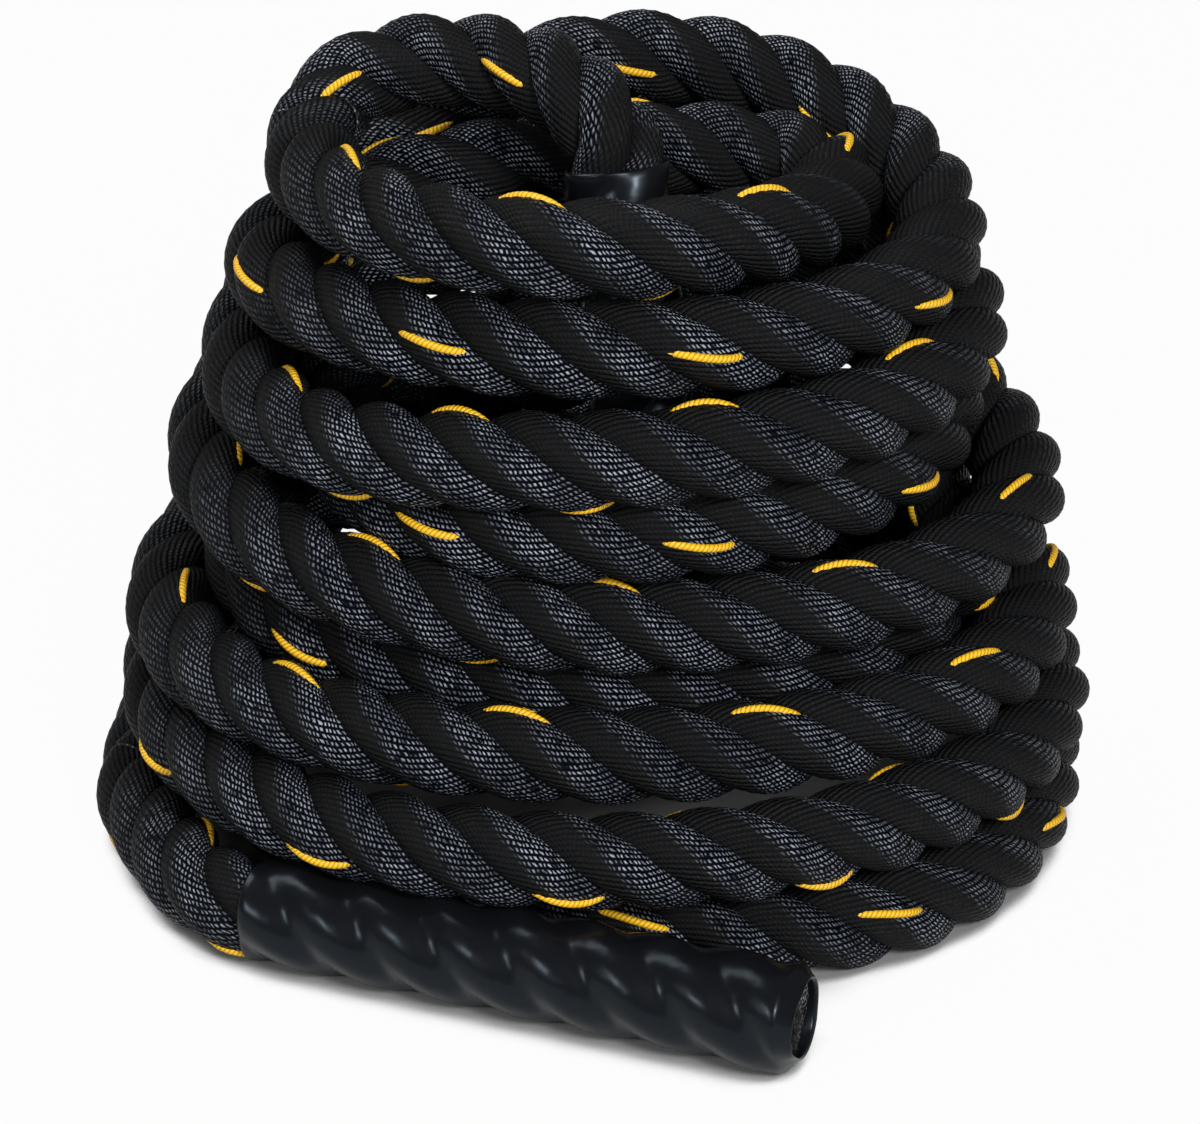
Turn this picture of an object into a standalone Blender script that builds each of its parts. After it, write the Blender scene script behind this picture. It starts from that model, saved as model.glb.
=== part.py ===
"""Battle rope, coiled in a heap with a shrink sleeve handle at each end.

A right-hand laid rope of three strands lies in nine loops that climb from a
wide turn on the floor to a small one on top. The bottom end leaves the heap
at the left and lies along its front as one handle. The top end crosses over
the heap and hangs down into its hollow core as the other.

Metres, +Z up. Seen from the front (-Y) the loops run left, front, right, back
from the top of the heap down.
"""

import math

import bmesh
import bpy
from mathutils import Matrix, Vector

# Rope: its size over the strands, the size of the mean surface, the length in
# which a strand goes once round, and a strand's size and its distance from the
# rope's centre, as shares of the rope
ROPE_DIAMETER = 0.038
ROPE_BODY_SHARE = 0.895
LAY_LENGTH = 0.092
STRAND_COUNT = 3
STRAND_SHARE = 0.432
ORBIT_SHARE = 0.284

# Shrink sleeves
SLEEVE_LENGTH = 0.225
SLEEVE_WALL = 0.0012
SLEEVE_FIT = 0.0008
SLEEVE_RIM = 0.004
STRAND_RECESS = 0.0005
RIM_OPENING_SHARE = 0.85
END_SWELL_LENGTH = 0.045
END_SWELL_SHARE = 0.05

# Gap between pieces that touch, and the slab that cuts the flat the heap stands on
PLAY = 0.0003
CUTTER_DEPTH = 0.02
CUTTER_MARGIN = 0.05

# Fineness of the solids
POINTS_PER_LOOP = 24
SAME_BEND_POINTS = 8
COIL_BEVEL_COUNT = 1
STRETCH_BEVEL_COUNT = 3
STRAND_BEVEL_COUNT = 2
STRETCH_STEP_SHARE = 0.2
STRETCH_LEAD_SHARE = 0.2
COIL_LEAD_SHARE = 0.6
CURVE_PARTS = 16
STRAND_STEPS_PER_LAY = 12
OUTLINE_POINTS = 24
SLEEVE_STEPS_PER_LAY = 12

# The coil's upright axis, and each loop's reach from it, in rope diameters:
# left, front, right and back, from the top loop down
AXIS_SHARES = (0.085, 0.639)
REACH_SHARES = (
    (2.94, 2.75, 2.41, 1.20),
    (3.38, 2.80, 3.49, 2.64),
    (3.68, 3.26, 3.73, 2.84),
    (2.72, 2.95, 3.54, 3.20),
    (4.07, 3.02, 4.43, 3.35),
    (3.75, 2.66, 3.82, 3.50),
    (4.58, 3.60, 4.62, 3.75),
    (4.67, 4.20, 4.79, 3.60),
    (3.92, 3.72, 4.76, 4.35),
)
# The rope's height above the floor at the same places, in rope diameters
HEIGHT_SHARES = (
    (7.43, 7.56, 7.05, 7.02),
    (6.33, 6.53, 6.71, 7.52),
    (5.27, 5.53, 5.70, 6.51),
    (4.75, 4.58, 4.70, 5.41),
    (4.16, 3.60, 3.82, 4.50),
    (3.12, 2.67, 3.04, 3.51),
    (2.50, 2.44, 2.42, 2.48),
    (1.56, 1.57, 1.42, 1.55),
    (0.56, 0.36, 0.36, 0.36),
)
# Where the bottom loop ends at the left, and how far each loop's front and back
# are pushed right
LAST_REACH_SHARE = 4.93
FRONT_PUSH_SHARES = (0, 0, 0, 0, 0, 0, 0, 0, 0.95)
BACK_PUSH_SHARES = (0, 0, 0, 0, 0.6, 0.15, -0.3, 0.2, -0.3)
QUARTERS = 4

# Free stretches from the coil's ends to the sleeve mouths, in rope diameters
# from the coil's axis and the floor; the first point is each stretch's start
LOWER_ROUTE_SHARES = (
    (-4.93, -0.60, 0.36),
    (-4.88, -1.15, 0.37),
    (-4.67, -1.75, 0.40),
    (-4.32, -2.56, 0.47),
    (-4.02, -3.03, 0.52),
    (-3.50, -3.42, 0.560),
)
LOWER_AIM_SHARES = (5.42, -2.13, 0.03)
UPPER_ROUTE_SHARES = (
    (-2.94, 0.60, 7.43),
    (-2.86, 1.05, 7.54),
    (-2.48, 1.36, 7.79),
    (-1.80, 1.26, 8.00),
    (-1.12, 0.98, 8.08),
    (-0.56, 0.50, 8.11),
    (-0.20, 0.03, 8.04),
    (0.04, -0.30, 7.88),
    (0.16, -0.50, 7.55),
)
UPPER_AIM_SHARES = (0.10, -0.20, -0.975)

ROPE_RADIUS = ROPE_DIAMETER / 2
BODY_RADIUS = ROPE_RADIUS * ROPE_BODY_SHARE
STRAND_RADIUS = ROPE_RADIUS * STRAND_SHARE
STRAND_ORBIT = ROPE_DIAMETER * ORBIT_SHARE
CLAY_GREY = (0.030, 0.032, 0.036, 1.0)
SLEEVE_BLACK = (0.012, 0.012, 0.014, 1.0)


def clear_scene():
    """Take every object out of the scene."""
    for old in list(bpy.data.objects):
        bpy.data.objects.remove(old, do_unlink=True)


def new_collection(name):
    collection = bpy.data.collections.new(name)
    bpy.context.scene.collection.children.link(collection)
    return collection


def surface(name, colour, roughness, metallic=0.0):
    """A plain material of one colour."""
    material = bpy.data.materials.new(name)
    material.use_nodes = True
    shader = material.node_tree.nodes["Principled BSDF"]
    shader.inputs["Base Color"].default_value = colour
    shader.inputs["Roughness"].default_value = roughness
    shader.inputs["Metallic"].default_value = metallic
    material.diffuse_color = colour
    return material


def cubic(before, start, end, after, part):
    """The smooth value a given part of the way from start to end."""
    leave = (end - before) / 2
    arrive = (after - start) / 2
    square = part * part
    cube = square * part
    return (
        start * (2 * cube - 3 * square + 1)
        + leave * (cube - 2 * square + part)
        + end * (3 * square - 2 * cube)
        + arrive * (cube - square)
    )


def smooth_value(values, place):
    """A smooth curve through evenly spaced values, read at a place along them."""
    first = min(max(int(math.floor(place)), 0), len(values) - 2)
    before = values[max(first - 1, 0)]
    after = values[min(first + 2, len(values) - 1)]
    return cubic(before, values[first], values[first + 1], after, place - first)


def on_axis(shares):
    """A point given in rope diameters from the coil's axis, in metres."""
    return Vector((
        (shares[0] + AXIS_SHARES[0]) * ROPE_DIAMETER,
        (shares[1] + AXIS_SHARES[1]) * ROPE_DIAMETER,
        shares[2] * ROPE_DIAMETER,
    ))


def coil_point(quarter):
    """The rope's centre after a number of quarter turns from the top loop's left."""
    sideways = []
    depthways = [REACH_SHARES[0][1]]
    heights = []
    for reach, height in zip(REACH_SHARES, HEIGHT_SHARES):
        sideways += [reach[0], reach[2]]
        depthways += [reach[1], reach[3]]
        heights += height
    sideways.append(LAST_REACH_SHARE)
    depthways.append(REACH_SHARES[-1][3])
    heights.append(HEIGHT_SHARES[-1][3])
    angle = math.pi * (1 + quarter / 2)
    across = smooth_value(sideways, quarter / 2) * math.cos(angle)
    along = smooth_value(depthways, (quarter + 1) / 2) * math.sin(angle)
    loop = min(int(quarter) // QUARTERS, len(REACH_SHARES) - 1)
    across += FRONT_PUSH_SHARES[loop] * max(0.0, -math.sin(angle)) ** 2
    across += BACK_PUSH_SHARES[loop] * max(0.0, math.sin(angle)) ** 2
    return on_axis((across, along, smooth_value(heights, quarter)))


def coil_route():
    """The centre of the coiled rope, with a straight lead at each end."""
    loops = len(REACH_SHARES)
    steps = loops * POINTS_PER_LOOP
    points = [coil_point(QUARTERS * loops * i / steps) for i in range(steps + 1)]
    lead = Vector((0.0, COIL_LEAD_SHARE * ROPE_DIAMETER, 0.0))
    return [points[0] + lead] + points + [points[-1] - lead]


def smooth_route(shares, start_aim, end_aim, step):
    """Evenly spaced points on a smooth curve through hand-chosen ones, with a
    short straight lead at each end."""
    ends = [on_axis(shares[0]), on_axis(shares[-1])]
    lead = STRETCH_LEAD_SHARE * ROPE_DIAMETER
    first = ends[0] + start_aim.normalized() * lead
    last = ends[1] - end_aim.normalized() * lead
    knots = [ends[0], first] + [on_axis(share) for share in shares[1:-1]] + [last, ends[1]]
    fine = []
    for i in range(2, len(knots) - 1):
        for k in range(CURVE_PARTS):
            part = k / CURVE_PARTS
            fine.append(cubic(knots[i - 2], knots[i - 1], knots[i], knots[i + 1], part))
    fine.append(last)
    return [ends[0]] + even_points(fine, step) + [ends[1]]


def even_points(fine, step):
    """The same path with its points about one step apart."""
    lengths = [0.0]
    for first, second in zip(fine, fine[1:]):
        lengths.append(lengths[-1] + (second - first).length)
    count = max(2, round(lengths[-1] / step))
    even = []
    place = 0
    for i in range(count + 1):
        target = lengths[-1] * i / count
        while place < len(fine) - 2 and lengths[place + 1] < target:
            place += 1
        span = lengths[place + 1] - lengths[place]
        even.append(fine[place].lerp(fine[place + 1], (target - lengths[place]) / span))
    return even


def path_length(points):
    return sum((second - first).length for first, second in zip(points, points[1:]))


def least_gap(points, radius):
    """The smallest gap between one tube's own passes, measured point to segment."""
    least = math.inf
    for i, point in enumerate(points):
        for k in range(i + SAME_BEND_POINTS, len(points) - 1):
            run = points[k + 1] - points[k]
            part = max(0.0, min(1.0, (point - points[k]).dot(run) / run.length_squared))
            least = min(least, (point - points[k] - run * part).length)
    return least - 2 * radius


def tube(name, points, radius, bevel, collection, material):
    """A round tube with closed ends along a list of points."""
    data = bpy.data.curves.new(name, "CURVE")
    data.dimensions = "3D"
    data.bevel_depth = radius
    data.bevel_resolution = bevel
    data.use_fill_caps = True
    spline = data.splines.new("POLY")
    spline.points.add(len(points) - 1)
    for spot, point in zip(spline.points, points):
        spot.co = (*point, 1.0)
    data.materials.append(material)
    piece = bpy.data.objects.new(name, data)
    collection.objects.link(piece)
    return piece


def as_mesh(piece, collection):
    """Replace a curve by the same closed shape as a mesh, so that it can be cut."""
    bpy.context.view_layer.update()
    graph = bpy.context.evaluated_depsgraph_get()
    mesh = bpy.data.meshes.new_from_object(piece.evaluated_get(graph))
    name = piece.name
    place = piece.matrix_world.copy()
    bpy.data.objects.remove(piece, do_unlink=True)
    weld = bmesh.new()
    weld.from_mesh(mesh)
    bmesh.ops.remove_doubles(weld, verts=weld.verts, dist=PLAY / 10)
    weld.to_mesh(mesh)
    weld.free()
    solid = bpy.data.objects.new(name, mesh)
    solid.matrix_world = place
    collection.objects.link(solid)
    shade(solid)
    return solid


def shade(piece):
    piece.data.shade_smooth()
    piece.data.set_sharp_from_angle(angle=math.radians(40))


def floor_cutter(points, collection):
    """A slab under the floor, as wide as the heap, that cuts the rope's flat."""
    wide = max(abs(value) for point in points for value in point[:2]) + CUTTER_MARGIN
    shape = bmesh.new()
    bmesh.ops.create_cube(shape, size=1.0)
    bmesh.ops.scale(shape, verts=shape.verts, vec=(2 * wide, 2 * wide, CUTTER_DEPTH))
    mesh = bpy.data.meshes.new("floor_cutter")
    shape.to_mesh(mesh)
    shape.free()
    cutter = bpy.data.objects.new("floor_cutter", mesh)
    cutter.location.z = -CUTTER_DEPTH / 2
    cutter.hide_render = True
    cutter.display_type = "WIRE"
    collection.objects.link(cutter)
    return cutter


def cut_flat(piece, cutter):
    """Give a piece the flat that it stands on."""
    cut = piece.modifiers.new("flat", "BOOLEAN")
    cut.operation = "DIFFERENCE"
    cut.solver = "EXACT"
    cut.object = cutter


def frame_along(mouth, aim):
    """A frame at a sleeve's mouth with its Z axis along the sleeve."""
    turn = aim.normalized().to_track_quat("Z", "Y")
    return Matrix.Translation(mouth) @ turn.to_matrix().to_4x4()


def sleeve_radius(angle):
    """The inside of a sleeve shrunk on to three strands."""
    lean = math.atan(math.tau * STRAND_ORBIT / LAY_LENGTH)
    half = math.pi / STRAND_COUNT
    broad = STRAND_RADIUS * math.sin(half) / math.cos(lean)
    lobe = STRAND_ORBIT + STRAND_RADIUS + SLEEVE_FIT
    bridge = math.hypot(STRAND_RADIUS * math.cos(half), broad)
    valley = STRAND_ORBIT * math.cos(half) + bridge + SLEEVE_FIT
    return (lobe + valley) / 2 + (lobe - valley) / 2 * math.cos(STRAND_COUNT * angle)


def sleeve_profile():
    """Places along a sleeve, with each ring's share of the fitted outline: a
    little wider near the cut end, then drawn in at the rim."""
    steps = round(SLEEVE_STEPS_PER_LAY * SLEEVE_LENGTH / LAY_LENGTH)
    straight = SLEEVE_LENGTH - SLEEVE_RIM
    rings = []
    for i in range(steps + 1):
        along = straight * i / steps
        part = max(0.0, 1 - (straight - along) / END_SWELL_LENGTH)
        rings.append((along, 1 + END_SWELL_SHARE * math.sin(math.pi / 2 * part) ** 2))
    for turn in (30, 60, 90):
        bend = math.radians(turn)
        drawn = (1 + END_SWELL_SHARE - RIM_OPENING_SHARE) * (1 - math.cos(bend))
        rings.append((straight + SLEEVE_RIM * math.sin(bend), 1 + END_SWELL_SHARE - drawn))
    return rings


def sleeve(name, place, collection, material):
    """A shrink sleeve: a three-lobed outline drawn along the rope with the
    strands' own twist, and its end rolled in over the cut."""
    shape = bmesh.new()
    corners = []
    for i in range(OUTLINE_POINTS):
        corners.append(shape.verts.new((0.0, 0.0, 0.0)))
    edges = []
    for first, second in zip(corners, corners[1:] + corners[:1]):
        edges.append(shape.edges.new((first, second)))
    rings = sleeve_profile()
    place_ring(corners, *rings[0])
    for ring in rings[1:]:
        grown = bmesh.ops.extrude_edge_only(shape, edges=edges)["geom"]
        edges = [item for item in grown if isinstance(item, bmesh.types.BMEdge)]
        corners = ordered_corners(edges)
        place_ring(corners, *ring)
    bmesh.ops.recalc_face_normals(shape, faces=shape.faces)
    mesh = bpy.data.meshes.new(name)
    shape.to_mesh(mesh)
    shape.free()
    mesh.materials.append(material)
    piece = bpy.data.objects.new(name, mesh)
    piece.matrix_world = place
    collection.objects.link(piece)
    wall = piece.modifiers.new("wall", "SOLIDIFY")
    wall.thickness = SLEEVE_WALL
    wall.offset = 1.0
    wall.use_even_offset = True
    shade(piece)
    return piece


def ordered_corners(edges):
    """The corners of a closed ring, each once, in the order of its edges."""
    corners = []
    for edge, following in zip(edges, edges[1:] + edges[:1]):
        shared = set(edge.verts) & set(following.verts)
        corners.append(shared.pop())
    return corners[-1:] + corners[:-1]


def place_ring(corners, along, drawn):
    """Put one ring of a sleeve at its height, twisted with the lay."""
    twist = math.tau * along / LAY_LENGTH
    for i, corner in enumerate(corners):
        angle = math.tau * i / len(corners)
        reach = sleeve_radius(angle) * drawn
        corner.co = (reach * math.cos(angle + twist), reach * math.sin(angle + twist), along)


def strand_route(phase):
    """A strand's helix inside a sleeve, from the mouth to the recessed cut."""
    length = SLEEVE_LENGTH - SLEEVE_RIM - STRAND_RECESS
    steps = round(STRAND_STEPS_PER_LAY * length / LAY_LENGTH)
    points = []
    for i in range(steps + 1):
        along = PLAY + (length - PLAY) * i / steps
        angle = phase + math.tau * along / LAY_LENGTH
        points.append(Vector((STRAND_ORBIT * math.cos(angle), STRAND_ORBIT * math.sin(angle), along)))
    return points


def strands(prefix, place, collection, material):
    """The three rope strands inside one sleeve, cut square at the end."""
    made = []
    for i in range(STRAND_COUNT):
        route = strand_route(math.tau * i / STRAND_COUNT)
        piece = tube(prefix + str(i + 1), route, STRAND_RADIUS, STRAND_BEVEL_COUNT, collection, material)
        solid = as_mesh(piece, collection)
        square_end(solid, route[0], (route[1] - route[0]).normalized())
        square_end(solid, route[-1], (route[-1] - route[-2]).normalized())
        solid.matrix_world = place
        made.append(solid)
    return made


def square_end(solid, end, aim):
    """Slide a strand's end ring along its twist until it lies square to the rope."""
    for corner in solid.data.vertices:
        if abs((corner.co - end).dot(aim)) < PLAY:
            rise = end.z - corner.co.z
            corner.co.rotate(Matrix.Rotation(math.tau * rise / LAY_LENGTH, 3, "Z"))
            corner.co.z = end.z


def pivot(name, spot, pieces, collection):
    """An empty on a joint's axis that carries the pieces of one body."""
    empty = bpy.data.objects.new(name, None)
    empty.location = spot
    collection.objects.link(empty)
    bpy.context.view_layer.update()
    for piece in pieces:
        place = piece.matrix_world.copy()
        piece.parent = empty
        piece.matrix_parent_inverse = empty.matrix_world.inverted()
        piece.matrix_world = place
    return empty


def handle(prefix, route, aim, parts, rope_finish, sleeve_finish):
    """One free end of the rope: its stretch, its sleeve and the strands inside."""
    mouth = route[-1] + aim.normalized() * PLAY
    place = frame_along(mouth, aim)
    stretch = tube(prefix + "rope_end", route, BODY_RADIUS, STRETCH_BEVEL_COUNT, parts, rope_finish)
    cover = sleeve(prefix + "sleeve", place, parts, sleeve_finish)
    inner = strands(prefix + "strand_", place, parts, rope_finish)
    return [stretch, cover] + inner


def main():
    clear_scene()
    parts = new_collection("battle_rope")
    cutters = new_collection("cutters")
    rope_finish = surface("rope_yarn", CLAY_GREY, 0.75)
    sleeve_finish = surface("shrink_sleeve", SLEEVE_BLACK, 0.3)

    wound = coil_route()
    coil = tube("rope_coil", wound, BODY_RADIUS, COIL_BEVEL_COUNT, parts, rope_finish)
    coil = as_mesh(coil, parts)
    cutter = floor_cutter(wound, cutters)
    cut_flat(coil, cutter)

    touch = Vector((0.0, PLAY, 0.0))
    step = STRETCH_STEP_SHARE * ROPE_DIAMETER
    lower_aim = Vector(LOWER_AIM_SHARES)
    lower = smooth_route(LOWER_ROUTE_SHARES, -touch, lower_aim, step)
    lower[0] = wound[-1] - touch
    upper_aim = Vector(UPPER_AIM_SHARES)
    upper = smooth_route(UPPER_ROUTE_SHARES, touch, upper_aim, step)
    upper[0] = wound[0] + touch
    lower_pieces = handle("lower_", lower, lower_aim, parts, rope_finish, sleeve_finish)
    upper_pieces = handle("upper_", upper, upper_aim, parts, rope_finish, sleeve_finish)
    lower_pieces[0] = as_mesh(lower_pieces[0], parts)
    cut_flat(lower_pieces[0], cutter)

    swing_at = lower[0] - Vector((BODY_RADIUS, 0.0, 0.0))
    pivot("lower_handle_pivot", swing_at, lower_pieces, parts)
    pivot("upper_handle_slide", upper[0], upper_pieces, parts)

    print("least gap of the coil to itself, m:", round(least_gap(wound, BODY_RADIUS), 5))
    print("coil length, m:", round(path_length(wound), 4))
    print("lower stretch, m:", round(path_length(lower), 4))
    print("upper stretch, m:", round(path_length(upper), 4))
    print("swing axis at:", [round(value, 5) for value in swing_at])
    widest = max(wound, key=lambda point: point.x)
    print("floor turn, right:", [round(value, 5) for value in widest])


main()
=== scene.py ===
"""Looks of the coiled battle rope: laid strands, tracer yarn, shrink sleeves,
studio floor, lights and camera. Metres, +Z up, front towards -Y."""

import math

import bpy
import numpy as np
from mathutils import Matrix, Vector

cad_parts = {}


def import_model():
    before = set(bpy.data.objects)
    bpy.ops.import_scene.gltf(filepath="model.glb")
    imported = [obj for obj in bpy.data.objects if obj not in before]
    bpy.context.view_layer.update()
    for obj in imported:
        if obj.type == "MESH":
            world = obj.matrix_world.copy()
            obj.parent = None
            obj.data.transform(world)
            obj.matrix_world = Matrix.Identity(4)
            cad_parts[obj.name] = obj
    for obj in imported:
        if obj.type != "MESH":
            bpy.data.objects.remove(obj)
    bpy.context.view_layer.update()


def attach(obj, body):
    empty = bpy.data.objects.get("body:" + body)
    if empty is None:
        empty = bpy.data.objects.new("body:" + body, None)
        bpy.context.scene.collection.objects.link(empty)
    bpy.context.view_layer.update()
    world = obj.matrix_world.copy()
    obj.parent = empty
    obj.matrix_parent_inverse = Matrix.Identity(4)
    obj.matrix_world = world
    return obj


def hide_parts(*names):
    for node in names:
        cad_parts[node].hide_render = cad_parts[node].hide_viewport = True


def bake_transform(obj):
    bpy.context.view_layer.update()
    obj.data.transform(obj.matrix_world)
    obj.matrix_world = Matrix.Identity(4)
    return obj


# Rope: its size over the strands, the length in which a strand goes once
# round, a strand's radius and its distance from the rope's centre, and where
# the first strand starts
ROPE_DIAMETER = 0.038
LAY_LENGTH = 0.092
STRAND_COUNT = 3
STRAND_RADIUS = 0.0104
STRAND_ORBIT = 0.0086
FIRST_STRAND_ANGLE = math.radians(20)

# Shrink sleeves: the gap to the strands, the grooves between the lobes, and
# the swell towards the open end
SLEEVE_LENGTH = 0.225
SLEEVE_WALL = 0.0012
SLEEVE_FIT = 0.0008
GROOVE_DEPTH = 0.0034
GROOVE_SOFTNESS = 0.12
END_SWELL_LENGTH = 0.045
END_SWELL_SHARE = 0.05

# Sleeve ends: how far the cut strands lie inside, the rim's depth and opening,
# pairs of a place in that depth and how far the rim has drawn in there, the
# rounding of both edges, and how far the inside of the wall goes on from them
STRAND_RECESS = 0.0040
ROPE_IN_SLEEVE = SLEEVE_LENGTH - STRAND_RECESS
RIM_DEPTH = 0.007
RIM_OPENING_SHARE = 0.76
RIM_PROFILE_SHARES = ((0.12, 0.03), (0.28, 0.14), (0.82, 0.80), (0.96, 0.94), (1.0, 1.0))
MOUTH_INSIDE = 0.020
MOUTH_EDGE_INSIDE = 0.002
MOUTH_EDGE_OUTSIDE = 0.001
RIM_EDGE_INSIDE = 0.0015
RIM_INSIDE = 0.012
RIM_INSIDE_SHARE = 0.97

# The coil's upright axis, and each loop's reach from it, in rope diameters:
# left, front, right and back, from the top loop down
AXIS_SHARES = (0.085, 0.639)
REACH_SHARES = (
    (2.94, 2.75, 2.41, 1.20),
    (3.38, 2.80, 3.49, 2.64),
    (3.68, 3.26, 3.73, 2.84),
    (2.72, 2.95, 3.54, 3.20),
    (4.07, 3.02, 4.43, 3.35),
    (3.75, 2.66, 3.82, 3.50),
    (4.58, 3.60, 4.62, 3.75),
    (4.67, 4.20, 4.79, 3.60),
    (3.92, 3.72, 4.76, 4.35),
)
# The rope's height above the floor at the same places, in rope diameters. Some
# are up to 0.24 off the solid model's, so that the passes close up
HEIGHT_SHARES = (
    (7.43, 7.56, 7.05, 7.02),
    (6.33, 6.52, 6.66, 7.52),
    (5.27, 5.55, 5.77, 6.51),
    (4.64, 4.58, 4.70, 5.41),
    (4.29, 3.60, 3.82, 4.47),
    (3.12, 2.67, 3.04, 3.53),
    (2.50, 2.44, 2.42, 2.43),
    (1.56, 1.57, 1.42, 1.66),
    (0.80, 0.46, 0.46, 0.46),
)
# Where the bottom loop ends at the left, how far each loop's front and back are
# pushed right, and how far the coil's ends run straight on
LAST_REACH_SHARE = 4.93
FRONT_PUSH_SHARES = (0, 0, 0, 0, 0, 0, 0, 0, 0.95)
BACK_PUSH_SHARES = (0, 0, 0, 0, 0.6, 0.15, -0.3, 0.2, -0.3)
QUARTERS = 4
COIL_LEAD_SHARE = 0.6

# Free stretches from the coil's ends to the sleeve mouths, in rope diameters
# from the coil's axis and the floor, how far each runs straight at both ends,
# and the way in which each sleeve points
STRETCH_LEAD_SHARE = 0.2
LOWER_ROUTE_SHARES = (
    (-4.93, -0.60, 0.46),
    (-4.88, -1.15, 0.46),
    (-4.67, -1.75, 0.47),
    (-4.32, -2.56, 0.50),
    (-4.02, -3.03, 0.53),
    (-3.50, -3.42, 0.560),
)
LOWER_AIM_SHARES = (5.42, -2.13, 0.03)
UPPER_ROUTE_SHARES = (
    (-2.94, 0.60, 7.43),
    (-2.86, 1.05, 7.54),
    (-2.48, 1.36, 7.79),
    (-1.80, 1.26, 8.00),
    (-1.12, 0.98, 8.08),
    (-0.56, 0.50, 8.11),
    (-0.20, 0.03, 8.04),
    (0.04, -0.30, 7.88),
    (0.16, -0.50, 7.55),
)
UPPER_AIM_SHARES = (0.10, -0.20, -0.975)

# Fineness of the route and of the meshes
COIL_POINTS_PER_LOOP = 240
CURVE_PARTS = 24
ROUTE_STEP = 0.0017
CORD_STEP = 0.010
RING_STEP = 0.0034
STRAND_SIDES = 20
TRACER_STEP = 0.0022
TRACER_SIDES = 8
SLEEVE_STEP = 0.0025
SLEEVE_SIDES = 72

# Yarns: how many show round a strand, how they wind round it, the length of one
# twist of their plies and its slant from yarn to yarn
YARNS_PER_STRAND = 24
YARN_TURNS_PER_LAY = 1.95
PLY_PITCH = 0.00112
YARN_SLANT = -1.5

# Unevenness of the yarns and plies: scale of the noise and how far it shifts them
YARN_NOISE = 170.0
YARN_DRIFT = 0.5
PLY_NOISE = 190.0
PLY_DRIFT = 2.0

# Glints painted on the plies: from where to where each grows in over the yarn's
# width, the ply's twist, a fine noise and a coarse one, round the strand and
# round the heap, and where round the strand they lie
GLINT_IN_YARN = (0.45, 0.92)
GLINT_IN_PLY = (0.40, 0.85)
GLINT_NOISE = 260.0
GLINT_NOISE_DETAIL = 3.0
GLINT_IN_NOISE = (0.25, 0.60)
PATCH_NOISE = 45.0
GLINT_IN_PATCH = (0.35, 0.65)
PATCH_LOSS = 0.6
GLINT_ROUND_STRAND = (0.50, 0.98)
GLINT_ROUND_HEAP = (0.0, 0.70)
GLINT_SIDE = -0.125

# Tracer yarn, which winds round one strand: its radius, the share of it that is
# left where the yarn is sunk, how far its line swings in and out, how it leans
# and sways, how far it runs on out of sight, and its twist
TRACER_RADIUS = 0.0016
TRACER_SUNK_SHARE = 0.35
TRACER_FULL_RISE = 0.6
TRACER_LIFT = -0.0035
TRACER_SWELL = 0.0034
TRACER_LEAN = 0.2
TRACER_SWAY = 0.21
TRACER_HIDDEN_LENGTH = 0.02
TRACER_UV_PER_METRE = 100
TRACER_PLIES = 2.0
TRACER_TWIST = 5.5

# Colours, linear
YARN_MATT = (0.0086, 0.0088, 0.0095, 1.0)
# Painted shade: the yarn's colour between the painted glints, darker than its matt colour
GLINT_BAND_SHADE = (0.0012, 0.0018, 0.0042, 1.0)
YARN_GLINT = (0.300, 0.335, 0.395, 1.0)
# Painted light: the cut ends, far paler than the black yarn
CUT_YARN_PAINTED_LIGHT = (0.330, 0.335, 0.350, 1.0)
CUT_GAP = (0.030, 0.030, 0.032, 1.0)
# Painted shade in the tracer's grooves between its plies
TRACER_GROOVE_SHADE = (0.60, 0.27, 0.004, 1.0)
TRACER_YELLOW = (0.95, 0.55, 0.012, 1.0)
SLEEVE_BLACK = (0.0050, 0.0053, 0.0066, 1.0)
SLEEVE_SHEEN = (0.70, 0.86, 1.00, 1.0)
FLOOR_GREY = (0.3, 0.3, 0.3, 1.0)
WHITE = (1.0, 1.0, 1.0, 1.0)

# Roughness, specular level and relief of each material, and the glints' extra
# specular level
YARN_ROUGHNESS = 0.45
YARN_SPECULAR = 0.04
GLINT_SPECULAR = 0.90
YARN_RELIEF = 0.0007
PLY_RELIEF_SHARE = 0.25
CUT_ROUGHNESS = 0.8
CUT_SPECULAR = 0.15
CUT_RELIEF = 0.0008
TRACER_ROUGHNESS = 0.5
TRACER_SPECULAR = 0.5
TRACER_RELIEF = 0.0004
TRACER_RELIEF_SHARE = 0.8
SLEEVE_ROUGHNESS = 0.27
SLEEVE_SPECULAR = 0.20
SLEEVE_RIPPLE = 0.0018
SLEEVE_RIPPLE_SHARE = 0.6
SLEEVE_RIPPLE_NOISE = 55.0
FLOOR_ROUGHNESS = 0.9
FLOOR_SPECULAR = 0.0

# Where the cut yarns' painted light turns to the darker gaps between them, and the
# tracer's painted groove shade to its plies, and the scale of the cut yarns
CUT_EDGE = (0.15, 0.55)
CUT_SCALE = 700.0
TRACER_EDGE = (0.1, 0.7)

# Studio: the floor's half width, how much of its look is plain white, how far
# away what shades it may be, between which shares of open sky it turns white,
# the sky's light and where the lamps point
FLOOR_REACH = 6
FLOOR_WHITENESS = 0.97
SHADE_SAMPLES = 16
SHADE_REACH = 0.5
SHADE_SKY = (0.26, 0.48)
SKY_LIGHT = 0.15
LAMP_TARGET = (0.0, 0.0, 0.12)
# Name, place, side and watts
LAMPS = (
    ("key", (0.80, -1.75, 1.40), 0.5, 43.0),
    ("front", (0.45, -1.95, 0.95), 0.22, 6.0),
    ("fill", (-1.5, -1.6, 1.1), 0.5, 14.0),
    ("top", (-0.9, 0.7, 1.8), 1.2, 22.0),
)

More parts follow.
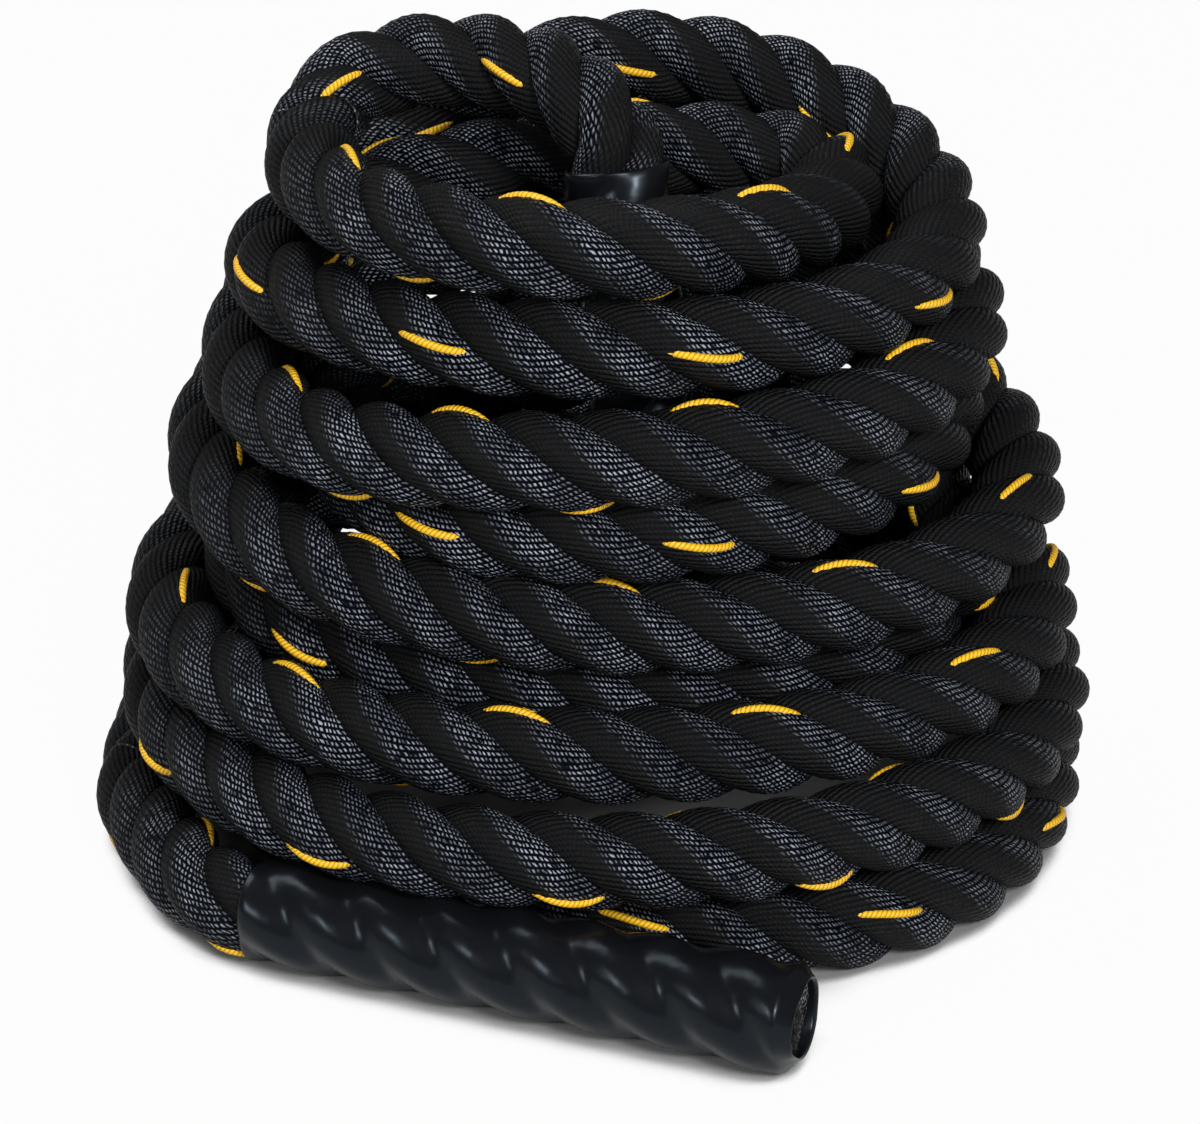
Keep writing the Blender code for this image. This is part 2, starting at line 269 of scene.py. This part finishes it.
# Camera, found by matching the loops' places in the photo
CAMERA_RISE = math.radians(27)
CAMERA_DISTANCE = 1.70
CAMERA_TARGET = (0.00323, -0.00612, 0.121)
CAMERA_LENS = 127.8
CAMERA_SIGHT = 50
SENSOR_WIDTH = 36.0


def cubic(before, start, end, after, part):
    """The smooth value a given part of the way from start to end."""
    leave = (end - before) / 2
    arrive = (after - start) / 2
    square = part * part
    cube = square * part
    return (
        start * (2 * cube - 3 * square + 1)
        + leave * (cube - 2 * square + part)
        + end * (3 * square - 2 * cube)
        + arrive * (cube - square)
    )


def smooth_value(values, place):
    """A smooth curve through evenly spaced values, read at a place along them."""
    first = min(max(int(math.floor(place)), 0), len(values) - 2)
    before = values[max(first - 1, 0)]
    after = values[min(first + 2, len(values) - 1)]
    return cubic(before, values[first], values[first + 1], after, place - first)


def on_axis(shares):
    """A point given in rope diameters from the coil's axis, in metres."""
    return np.array((
        (shares[0] + AXIS_SHARES[0]) * ROPE_DIAMETER,
        (shares[1] + AXIS_SHARES[1]) * ROPE_DIAMETER,
        shares[2] * ROPE_DIAMETER,
    ))


def coil_point(quarter):
    """The rope's centre after a number of quarter turns from the top loop's left."""
    sideways = []
    depthways = [REACH_SHARES[0][1]]
    heights = []
    for reach, height in zip(REACH_SHARES, HEIGHT_SHARES):
        sideways += [reach[0], reach[2]]
        depthways += [reach[1], reach[3]]
        heights += height
    sideways.append(LAST_REACH_SHARE)
    depthways.append(REACH_SHARES[-1][3])
    heights.append(HEIGHT_SHARES[-1][3])
    angle = math.pi * (1 + quarter / 2)
    across = smooth_value(sideways, quarter / 2) * math.cos(angle)
    along = smooth_value(depthways, (quarter + 1) / 2) * math.sin(angle)
    loop = min(int(quarter) // QUARTERS, len(REACH_SHARES) - 1)
    across += FRONT_PUSH_SHARES[loop] * max(0.0, -math.sin(angle)) ** 2
    across += BACK_PUSH_SHARES[loop] * max(0.0, math.sin(angle)) ** 2
    return on_axis((across, along, smooth_value(heights, quarter)))


def unit(vector):
    """The same direction with a length of one."""
    vector = np.array(vector, float)
    return vector / np.linalg.norm(vector)


def coil_route():
    """The centre of the coiled rope, from the top end down, closely spaced."""
    loops = len(REACH_SHARES)
    steps = loops * COIL_POINTS_PER_LOOP
    points = [coil_point(QUARTERS * loops * i / steps) for i in range(steps + 1)]
    lead = np.array((0.0, COIL_LEAD_SHARE * ROPE_DIAMETER, 0.0))
    return [points[0] + lead] + points + [points[-1] - lead]


def free_route(shares, start_aim, end_aim, beyond):
    """The centre of a free end: from the coil to the sleeve's mouth and on
    through the sleeve."""
    ends = [on_axis(shares[0]), on_axis(shares[-1])]
    lead = STRETCH_LEAD_SHARE * ROPE_DIAMETER
    first = ends[0] + unit(start_aim) * lead
    last = ends[1] - unit(end_aim) * lead
    knots = [ends[0], first] + [on_axis(share) for share in shares[1:-1]] + [last, ends[1]]
    fine = [ends[0]]
    for i in range(2, len(knots) - 1):
        for k in range(CURVE_PARTS):
            part = k / CURVE_PARTS
            fine.append(cubic(knots[i - 2], knots[i - 1], knots[i], knots[i + 1], part))
    fine += [last, ends[1], ends[1] + unit(end_aim) * beyond]
    return fine


def even_points(fine, step):
    """The same path with its points about one step apart."""
    fine = np.array(fine)
    reach = np.concatenate([[0], np.cumsum(np.linalg.norm(np.diff(fine, axis=0), axis=1))])
    places = np.linspace(0, reach[-1], max(2, round(reach[-1] / step)) + 1)
    return np.stack([np.interp(places, reach, fine[:, k]) for k in range(3)], axis=1)


class Route:
    """The whole rope from the upper cut to the lower one, with a frame that
    doesn't twist along it."""

    def __init__(self):
        upper = free_route(UPPER_ROUTE_SHARES, (0, 1, 0), UPPER_AIM_SHARES, ROPE_IN_SLEEVE)
        lower = free_route(LOWER_ROUTE_SHARES, (0, -1, 0), LOWER_AIM_SHARES, ROPE_IN_SLEEVE)
        whole = upper[::-1] + coil_route()[1:-1] + lower
        self.points = even_points(whole, ROUTE_STEP)
        steps = np.linalg.norm(np.diff(self.points, axis=0), axis=1)
        self.reach = np.concatenate([[0], np.cumsum(steps)])
        self.total = self.reach[-1]
        self.coil_start = path_length(upper)
        self.coil_end = self.total - path_length(lower)
        self.set_frames()

    def set_frames(self):
        """Aim, side and up at each point, each side mirrored on from the last one."""
        self.aims = np.gradient(self.points, axis=0)
        self.aims /= np.linalg.norm(self.aims, axis=1)[:, None]
        side = np.cross(self.aims[0], (0.0, 1.0, 0.0))
        sides = [side / np.linalg.norm(side)]
        for i in range(1, len(self.points)):
            step = self.points[i] - self.points[i - 1]
            length = step @ step
            turned = sides[-1] - step * (2 * (step @ sides[-1]) / length)
            aim = self.aims[i - 1] - step * (2 * (step @ self.aims[i - 1]) / length)
            change = self.aims[i] - aim
            length = change @ change
            if length > 0:
                turned = turned - change * (2 * (change @ turned) / length)
            sides.append(turned / np.linalg.norm(turned))
        self.sides = np.array(sides)
        self.ups = np.cross(self.aims, self.sides)

    def read(self, table, places):
        """A table of the route's points or directions, read at places along it."""
        return np.stack([np.interp(places, self.reach, table[:, k]) for k in range(3)], axis=1)

    def around(self, places, angles, out):
        """Points at an angle and distance from the rope's centre."""
        centre = self.read(self.points, places)
        side = self.read(self.sides, places)
        up = self.read(self.ups, places)
        return centre + (side * np.cos(angles)[:, None] + up * np.sin(angles)[:, None]) * out


def path_length(points):
    """The length of a path through points."""
    points = np.array(points)
    return float(np.linalg.norm(np.diff(points, axis=0), axis=1).sum())


def lay_angle(places, strand):
    """Where a strand lies round the rope."""
    return FIRST_STRAND_ANGLE + math.tau * (places / LAY_LENGTH + strand / STRAND_COUNT)


def strand_frame(route, places, strand):
    """A strand's centre line, with directions outwards and across it."""
    angles = lay_angle(places, strand)
    centre = route.around(places, angles, STRAND_ORBIT)
    rope = route.read(route.points, places)
    aim = np.gradient(centre, axis=0)
    aim /= np.linalg.norm(aim, axis=1)[:, None]
    out = centre - rope
    out -= aim * np.sum(out * aim, axis=1)[:, None]
    out /= np.linalg.norm(out, axis=1)[:, None]
    return centre, out, np.cross(aim, out)


def places_between(start, end, step):
    """Evenly spaced places along the rope, about one step apart."""
    return np.linspace(start, end, max(2, round((end - start) / step)) + 1)


def new_piece(name, vertices, faces, uvs, materials, slots=None):
    """A smooth mesh with a texture place for each corner of each face."""
    mesh = bpy.data.meshes.new(name)
    mesh.from_pydata([tuple(v) for v in vertices], [], faces)
    layer = mesh.uv_layers.new(name="yarn")
    flat = np.array([pair for corner in uvs for pair in corner], dtype=np.float32)
    layer.data.foreach_set("uv", flat.ravel())
    for material in materials:
        mesh.materials.append(material)
    if slots is not None:
        mesh.polygons.foreach_set("material_index", slots)
    mesh.shade_smooth()
    mesh.update()
    piece = bpy.data.objects.new(name, mesh)
    bpy.context.scene.collection.objects.link(piece)
    return piece


def cut_planes(route, start, end):
    """The flat cuts of the rope, where a length of it reaches its upper or lower end."""
    planes = {}
    if start <= 0:
        planes[0] = (route.points[0], -route.aims[0])
    if end >= route.total:
        planes[-1] = (route.points[-1], route.aims[-1])
    return planes


def strands_piece(name, route, start, end, materials):
    """The three strands of a length of rope as one mesh."""
    planes = cut_planes(route, start, end)
    vertices = []
    faces = []
    uvs = []
    slots = []
    places = places_between(start, end, RING_STEP)
    for strand in range(STRAND_COUNT):
        centre, out, across = strand_frame(route, places, strand)
        base = len(vertices)
        for i in range(len(places)):
            run = np.cross(out[i], across[i])
            for k in range(STRAND_SIDES):
                angle = math.tau * k / STRAND_SIDES
                away = math.cos(angle) * out[i] + math.sin(angle) * across[i]
                point = centre[i] + STRAND_RADIUS * away
                for cut_ring, (cut_point, cut_aim) in planes.items():
                    over = (point - cut_point) @ cut_aim
                    if over > 0 or i == cut_ring % len(places):
                        point = point - run * (over / (run @ cut_aim))
                point[2] = max(point[2], 0.0)
                vertices.append(point)
        for i in range(len(places) - 1):
            low = places[i] / LAY_LENGTH
            high = places[i + 1] / LAY_LENGTH
            for k in range(STRAND_SIDES):
                a = base + i * STRAND_SIDES + k
                b = base + i * STRAND_SIDES + (k + 1) % STRAND_SIDES
                faces.append((a, b, b + STRAND_SIDES, a + STRAND_SIDES))
                left = k / STRAND_SIDES
                right = (k + 1) / STRAND_SIDES
                low_turn = low * YARN_TURNS_PER_LAY
                high_turn = high * YARN_TURNS_PER_LAY
                uvs.append((
                    (left + low_turn, low), (right + low_turn, low),
                    (right + high_turn, high), (left + high_turn, high),
                ))
                slots.append(0)
        first = [base + k for k in range(STRAND_SIDES)]
        last = [base + (len(places) - 1) * STRAND_SIDES + k for k in range(STRAND_SIDES)]
        for ring in (first[::-1], last):
            faces.append(tuple(ring))
            uvs.append(tuple((k / STRAND_SIDES, 0.0) for k in range(STRAND_SIDES)))
            slots.append(1)
    return new_piece(name, vertices, faces, uvs, materials, slots)


def tracer_piece(name, route, start, end, material):
    """The tracer yarn, which winds round the first strand."""
    places = places_between(start, end, TRACER_STEP)
    centre, out, across = strand_frame(route, places, 0)
    wound = math.tau * (YARN_TURNS_PER_LAY * places / LAY_LENGTH)
    turn = TRACER_SWAY * np.sin(wound) - wound
    away = out * np.cos(turn)[:, None] + across * np.sin(turn)[:, None]
    rise = np.cos(turn + TRACER_LEAN)
    line = centre + away * (STRAND_RADIUS + TRACER_LIFT + TRACER_SWELL * rise)[:, None]
    shown = np.clip(rise / TRACER_FULL_RISE, 0, 1)
    radii = TRACER_RADIUS * (TRACER_SUNK_SHARE + (1 - TRACER_SUNK_SHARE) * shown)
    aim = np.gradient(line, axis=0)
    aim /= np.linalg.norm(aim, axis=1)[:, None]
    away -= aim * np.sum(away * aim, axis=1)[:, None]
    away /= np.linalg.norm(away, axis=1)[:, None]
    side = np.cross(aim, away)
    reach = np.concatenate([[0], np.cumsum(np.linalg.norm(np.diff(line, axis=0), axis=1))])
    vertices = []
    faces = []
    uvs = []
    for i in range(len(places)):
        for k in range(TRACER_SIDES):
            angle = math.tau * k / TRACER_SIDES
            point = line[i] + radii[i] * (math.cos(angle) * away[i] + math.sin(angle) * side[i])
            point[2] = max(point[2], 0.0)
            vertices.append(point)
    for i in range(len(places) - 1):
        for k in range(TRACER_SIDES):
            a = i * TRACER_SIDES + k
            b = i * TRACER_SIDES + (k + 1) % TRACER_SIDES
            faces.append((a, b, b + TRACER_SIDES, a + TRACER_SIDES))
            left = k / TRACER_SIDES
            right = (k + 1) / TRACER_SIDES
            low = reach[i] * TRACER_UV_PER_METRE
            high = reach[i + 1] * TRACER_UV_PER_METRE
            uvs.append(((left, low), (right, low), (right, high), (left, high)))
    first = tuple(range(TRACER_SIDES))[::-1]
    last = tuple(len(vertices) - TRACER_SIDES + k for k in range(TRACER_SIDES))
    for ring in (first, last):
        faces.append(ring)
        uvs.append(tuple((0.0, 0.0) for _ in ring))
    return new_piece(name, vertices, faces, uvs, [material])


def sleeve_radius(angle):
    """The inside of a sleeve shrunk on to three strands: broad lobes and
    narrow grooves."""
    lobe = STRAND_ORBIT + STRAND_RADIUS + SLEEVE_FIT
    crest = math.sqrt(math.cos(STRAND_COUNT * angle / 2) ** 2 + GROOVE_SOFTNESS)
    return lobe - GROOVE_DEPTH * (1 - crest)


def sleeve_rings():
    """A sleeve's rings from the inside of its mouth, round the mouth's lip,
    along the outside, over the rim and back inside: place along the sleeve,
    distance added to the fitted outline, and share of it."""
    rings = [
        (MOUTH_INSIDE, 0.0, 1.0), (MOUTH_EDGE_INSIDE, 0.0, 1.0),
        (0.0, SLEEVE_WALL / 2, 1.0), (MOUTH_EDGE_OUTSIDE, SLEEVE_WALL, 1.0),
    ]
    straight = SLEEVE_LENGTH - RIM_DEPTH
    swollen = 1 + END_SWELL_SHARE
    drawn = swollen - RIM_OPENING_SHARE
    steps = round(straight / SLEEVE_STEP)
    for i in range(1, steps + 1):
        along = MOUTH_EDGE_OUTSIDE + (straight - MOUTH_EDGE_OUTSIDE) * i / steps
        part = max(0.0, 1 - (straight - along) / END_SWELL_LENGTH)
        share = 1 + END_SWELL_SHARE * math.sin(math.pi / 2 * part) ** 2
        rings.append((along, SLEEVE_WALL, share))
    for deep, narrowed in RIM_PROFILE_SHARES:
        rings.append((straight + RIM_DEPTH * deep, SLEEVE_WALL, swollen - drawn * narrowed))
    rings.append((SLEEVE_LENGTH - RIM_EDGE_INSIDE, 0.0, RIM_OPENING_SHARE))
    rings.append((SLEEVE_LENGTH - RIM_INSIDE, 0.0, RIM_INSIDE_SHARE))
    return rings


def sleeve_piece(name, route, mouth, towards, material):
    """A shrink sleeve from its mouth to the rope's cut end."""
    vertices = []
    faces = []
    uvs = []
    rings = sleeve_rings()
    for along, added, share in rings:
        place = mouth + towards * along
        inside = min(max(place, 0.0), route.total)
        beyond = (place - inside) * towards
        places = np.full(SLEEVE_SIDES, inside)
        turns = math.tau * np.arange(SLEEVE_SIDES) / SLEEVE_SIDES
        outline = np.array([sleeve_radius(turn) for turn in turns]) * share + added
        angles = turns + FIRST_STRAND_ANGLE + math.tau * place / LAY_LENGTH
        ring = route.around(places, angles, outline[:, None])
        aim = route.aims[0] * -1 if towards < 0 else route.aims[-1]
        ring = ring + aim * beyond
        ring[:, 2] = np.maximum(ring[:, 2], 0.0)
        vertices += list(ring)
    for i in range(len(rings) - 1):
        for k in range(SLEEVE_SIDES):
            a = i * SLEEVE_SIDES + k
            b = i * SLEEVE_SIDES + (k + 1) % SLEEVE_SIDES
            face = (a, b, b + SLEEVE_SIDES, a + SLEEVE_SIDES)
            faces.append(face if towards > 0 else face[::-1])
            uvs.append(((k, i), (k + 1, i), (k + 1, i + 1), (k, i + 1)))
    return new_piece(name, vertices, faces, uvs, [material])


class Shader:
    """Short calls for building a material's nodes."""

    def __init__(self, name):
        self.material = bpy.data.materials.new(name)
        self.material.use_nodes = True
        self.tree = self.material.node_tree
        self.main = self.tree.nodes["Principled BSDF"]

    def node(self, kind, **settings):
        """A new node with its settings."""
        made = self.tree.nodes.new(kind)
        for key, value in settings.items():
            setattr(made, key, value)
        return made

    def link(self, source, target):
        """Lead an output to an input."""
        self.tree.links.new(source, target)

    def put(self, socket, value):
        """Give an input a value or a link."""
        if isinstance(value, bpy.types.NodeSocket):
            self.link(value, socket)
        else:
            socket.default_value = value

    def math(self, operation, *values):
        """The result of a sum on values or outputs."""
        made = self.node("ShaderNodeMath", operation=operation)
        for socket, value in zip(made.inputs, values):
            self.put(socket, value)
        return made.outputs[0]

    def ramp(self, value, low, high):
        """A smooth rise from 0 at low to 1 at high."""
        made = self.node("ShaderNodeMapRange", interpolation_type="SMOOTHSTEP")
        self.put(made.inputs["Value"], value)
        made.inputs["From Min"].default_value = low
        made.inputs["From Max"].default_value = high
        return made.outputs["Result"]

    def mix(self, share, first, second):
        """A colour between two, a share of the way to the second."""
        made = self.node("ShaderNodeMix", data_type="RGBA")
        self.put(made.inputs["Factor"], share)
        self.put(made.inputs[6], first)
        self.put(made.inputs[7], second)
        return made.outputs[2]

    def split(self, vector):
        """The three parts of a vector."""
        made = self.node("ShaderNodeSeparateXYZ")
        self.link(vector, made.inputs[0])
        return made.outputs

    def place(self):
        """The place on the object."""
        return self.node("ShaderNodeTexCoord").outputs["Object"]

    def noise(self, scale, detail=2.0):
        """Noise over the object."""
        made = self.node("ShaderNodeTexNoise")
        made.inputs["Scale"].default_value = scale
        made.inputs["Detail"].default_value = detail
        self.link(self.place(), made.inputs["Vector"])
        return made.outputs["Fac"]

    def bump(self, height, distance, strength=1.0):
        """Relief from a height between 0 and 1."""
        made = self.node("ShaderNodeBump")
        made.inputs["Strength"].default_value = strength
        made.inputs["Distance"].default_value = distance
        self.link(height, made.inputs["Height"])
        self.link(made.outputs["Normal"], self.main.inputs["Normal"])

    def yarn_uv(self):
        """How far round and along a yarn's strand, or round and along the tracer."""
        return self.split(self.node("ShaderNodeUVMap", uv_map="yarn").outputs["UV"])

    def finish(self, colour, roughness, specular):
        """Set the main shader's colour, roughness and specular level."""
        self.put(self.main.inputs["Base Color"], colour)
        self.main.inputs["Roughness"].default_value = roughness
        self.put(self.main.inputs["Specular IOR Level"], specular)


def yarn_finish():
    """Black twisted yarns laid round a strand, with a pale glint painted on each
    ply, in a band along the strand that fades towards the heap's two sides, and
    painted shade between the glints in that band."""
    s = Shader("rope_yarn")
    uv = s.yarn_uv()
    yarn = s.math("MULTIPLY", uv["X"], float(YARNS_PER_STRAND))
    uneven = s.math("MULTIPLY_ADD", s.noise(YARN_NOISE), YARN_DRIFT, yarn)
    rib = s.math("ABSOLUTE", s.math("SINE", s.math("MULTIPLY", uneven, math.pi)))
    along = s.math("MULTIPLY", uv["Y"], LAY_LENGTH / PLY_PITCH)
    slant = s.math("ADD", along, s.math("MULTIPLY", yarn, YARN_SLANT))
    slant = s.math("MULTIPLY_ADD", s.noise(PLY_NOISE), PLY_DRIFT, slant)
    ply = s.math("SINE", s.math("MULTIPLY", slant, math.tau))
    ply = s.math("MULTIPLY_ADD", ply, 0.5, 0.5)

    speckle = s.noise(GLINT_NOISE, GLINT_NOISE_DETAIL)
    dots = s.math("MULTIPLY", s.ramp(rib, *GLINT_IN_YARN), s.ramp(ply, *GLINT_IN_PLY))
    dots = s.math("MULTIPLY", dots, s.ramp(speckle, *GLINT_IN_NOISE))
    patch = s.ramp(s.noise(PATCH_NOISE), *GLINT_IN_PATCH)
    dots = s.math("MULTIPLY", dots, s.math("MULTIPLY_ADD", patch, PATCH_LOSS, 1 - PATCH_LOSS))
    unwound = s.math("MULTIPLY_ADD", uv["Y"], -YARN_TURNS_PER_LAY, uv["X"])
    flank = s.math("SUBTRACT", unwound, GLINT_SIDE)
    flank = s.math("COSINE", s.math("MULTIPLY", flank, math.tau))
    place = s.split(s.place())
    # Place round the heap: the painted highlight fades towards its left and right sides
    across = s.math("ABSOLUTE", s.math("SINE", s.math("ARCTAN2", place["Y"], place["X"])))
    band = s.math(
        "MULTIPLY", s.ramp(flank, *GLINT_ROUND_STRAND), s.ramp(across, *GLINT_ROUND_HEAP)
    )
    glint = s.math("MULTIPLY", dots, band)

    # Painted shade: inside the glint band the yarn turns darker between the painted glints
    matt_and_band_shade = s.mix(band, YARN_MATT, GLINT_BAND_SHADE)
    specular = s.math("MULTIPLY_ADD", glint, GLINT_SPECULAR, YARN_SPECULAR)
    s.finish(s.mix(glint, matt_and_band_shade, YARN_GLINT), YARN_ROUGHNESS, specular)
    s.bump(s.math("MULTIPLY_ADD", ply, PLY_RELIEF_SHARE, rib), YARN_RELIEF)
    return s.material


def cut_finish():
    """The cut ends of the yarns, painted much paler than the black yarn as painted light on the
    cut face inside the sleeve's end, darker between the ends.
    """
    s = Shader("cut_yarn")
    dots = s.node("ShaderNodeTexVoronoi")
    dots.inputs["Scale"].default_value = CUT_SCALE
    s.link(s.place(), dots.inputs["Vector"])
    edge = s.ramp(dots.outputs["Distance"], *CUT_EDGE)
    # Painted light: the cut ends are far paler than the black yarn
    s.finish(s.mix(edge, CUT_YARN_PAINTED_LIGHT, CUT_GAP), CUT_ROUGHNESS, CUT_SPECULAR)
    s.bump(dots.outputs["Distance"], CUT_RELIEF)
    return s.material


def tracer_finish():
    """Yellow twisted yarn, with painted shade in the grooves between its plies."""
    s = Shader("tracer_yarn")
    uv = s.yarn_uv()
    round_it = s.math("MULTIPLY", uv["X"], TRACER_PLIES)
    turn = s.math("ADD", round_it, s.math("MULTIPLY", uv["Y"], TRACER_TWIST))
    ply = s.math("ABSOLUTE", s.math("SINE", s.math("MULTIPLY", turn, math.pi)))
    # Painted shade: a deep colour in the grooves between the plies
    colour = s.mix(s.ramp(ply, *TRACER_EDGE), TRACER_GROOVE_SHADE, TRACER_YELLOW)
    s.finish(colour, TRACER_ROUGHNESS, TRACER_SPECULAR)
    s.bump(ply, TRACER_RELIEF, TRACER_RELIEF_SHARE)
    return s.material


def sleeve_finish():
    """Glossy black shrunk plastic, a little rippled."""
    s = Shader("shrink_sleeve")
    s.finish(SLEEVE_BLACK, SLEEVE_ROUGHNESS, SLEEVE_SPECULAR)
    s.main.inputs["Specular Tint"].default_value = SLEEVE_SHEEN
    s.bump(s.noise(SLEEVE_RIPPLE_NOISE), SLEEVE_RIPPLE, SLEEVE_RIPPLE_SHARE)
    return s.material


def floor_finish():
    """White as seen by the camera and in gloss, pale grey to the light and
    where the rope above shades it."""
    s = Shader("studio_white")
    s.finish(FLOOR_GREY, FLOOR_ROUGHNESS, FLOOR_SPECULAR)
    light = s.node("ShaderNodeEmission")
    light.inputs["Color"].default_value = WHITE
    light.inputs["Strength"].default_value = 1.0
    path = s.node("ShaderNodeLightPath")
    seen = s.math("MAXIMUM", path.outputs["Is Camera Ray"], path.outputs["Is Glossy Ray"])
    seen = s.math("MAXIMUM", seen, path.outputs["Is Transmission Ray"])
    shade = s.node("ShaderNodeAmbientOcclusion", samples=SHADE_SAMPLES)
    shade.inputs["Distance"].default_value = SHADE_REACH
    clear = s.ramp(shade.outputs["AO"], *SHADE_SKY)
    share = s.math("MULTIPLY", s.math("MULTIPLY", seen, clear), FLOOR_WHITENESS)
    both = s.node("ShaderNodeMixShader")
    s.link(share, both.inputs[0])
    s.link(s.main.outputs[0], both.inputs[1])
    s.link(light.outputs[0], both.inputs[2])
    s.link(both.outputs[0], s.tree.nodes["Material Output"].inputs["Surface"])
    return s.material


def studio():
    """Floor, world and lamps."""
    mesh = bpy.data.meshes.new("studio_floor")
    corners = [
        (x * FLOOR_REACH, y * FLOOR_REACH, 0) for x, y in ((-1, -1), (1, -1), (1, 1), (-1, 1))
    ]
    mesh.from_pydata(corners, [], [(0, 1, 2, 3)])
    mesh.materials.append(floor_finish())
    floor = bpy.data.objects.new("studio_floor", mesh)
    bpy.context.scene.collection.objects.link(floor)

    world = bpy.data.worlds.new("studio_world")
    bpy.context.scene.world = world
    world.use_nodes = True
    tree = world.node_tree
    plain = tree.nodes["Background"]
    plain.inputs["Color"].default_value = WHITE
    plain.inputs["Strength"].default_value = SKY_LIGHT
    white = tree.nodes.new("ShaderNodeBackground")
    white.inputs["Color"].default_value = WHITE
    white.inputs["Strength"].default_value = 1.0
    path = tree.nodes.new("ShaderNodeLightPath")
    both = tree.nodes.new("ShaderNodeMixShader")
    tree.links.new(path.outputs["Is Camera Ray"], both.inputs[0])
    tree.links.new(plain.outputs[0], both.inputs[1])
    tree.links.new(white.outputs[0], both.inputs[2])
    tree.links.new(both.outputs[0], tree.nodes["World Output"].inputs["Surface"])

    for row in LAMPS:
        lamp(*row)


def lamp(name, place, size, power):
    """A square lamp, turned to the heap."""
    data = bpy.data.lights.new(name, "AREA")
    data.size = size
    data.energy = power
    made = bpy.data.objects.new(name, data)
    made.location = place
    aim = Vector(LAMP_TARGET) - Vector(place)
    made.rotation_euler = aim.to_track_quat("-Z", "Y").to_euler()
    bpy.context.scene.collection.objects.link(made)


def camera():
    """The camera, at the photo's viewing angle."""
    data = bpy.data.cameras.new("camera")
    data.lens = CAMERA_LENS
    data.sensor_width = SENSOR_WIDTH
    data.sensor_fit = "HORIZONTAL"
    data.clip_end = CAMERA_SIGHT
    made = bpy.data.objects.new("camera", data)
    back = Vector((0.0, -math.cos(CAMERA_RISE), math.sin(CAMERA_RISE)))
    made.location = Vector(CAMERA_TARGET) + back * CAMERA_DISTANCE
    made.rotation_euler = (math.pi / 2 - CAMERA_RISE, 0.0, 0.0)
    bpy.context.scene.collection.objects.link(made)
    bpy.context.scene.camera = made


def path_of(route, start, end):
    """The centre line of a length of rope."""
    places = places_between(start, end, CORD_STEP)
    return route.read(route.points, places)


def free_end(route, prefix, span, mouth, towards, finishes):
    """One handle: the rope from the coil to its cut end, its tracer and its sleeve."""
    yarn, cut, tracer, plastic = finishes
    start, end = span
    body = prefix + "handle"
    at_coil = start if towards > 0 else end
    rope = strands_piece(prefix + "rope", route, start, end, [yarn, cut])
    shown_end = mouth + towards * TRACER_HIDDEN_LENGTH
    run = sorted((at_coil, shown_end))
    line = tracer_piece(prefix + "tracer", route, run[0], run[1], tracer)
    cover = sleeve_piece(prefix + "shrink_sleeve", route, mouth, towards, plastic)
    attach(cover, body)
    near = route.read(route.points, np.array([at_coil]))[0]
    far = route.read(route.points, np.array([mouth]))[0]
    for piece in (rope, line):
        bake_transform(piece)
    strands = [prefix + "strand_%d" % (i + 1) for i in range(STRAND_COUNT)]
    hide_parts(prefix + "rope_end", *strands)
    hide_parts(prefix + "sleeve")
    path = path_of(route, start, end)
    if towards < 0:
        path = path[::-1]


def main():
    """Load the solids, dress them and set up the studio."""
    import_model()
    route = Route()
    yarn = yarn_finish()
    cut = cut_finish()
    tracer = tracer_finish()
    plastic = sleeve_finish()

    start, end = route.coil_start, route.coil_end
    coil = strands_piece("coiled_rope", route, start, end, [yarn, cut])
    line = tracer_piece("coiled_tracer", route, start, end, tracer)
    for piece in (coil, line):
        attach(piece, "heap")
    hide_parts("rope_coil")
    path = path_of(route, start, end)
    finishes = (yarn, cut, tracer, plastic)
    free_end(route, "upper_", (0.0, start), ROPE_IN_SLEEVE, -1, finishes)
    lower_mouth = route.total - ROPE_IN_SLEEVE
    free_end(route, "lower_", (end, route.total), lower_mouth, 1, finishes)

    studio()
    camera()
    bpy.context.scene.view_settings.view_transform = "Standard"


main()
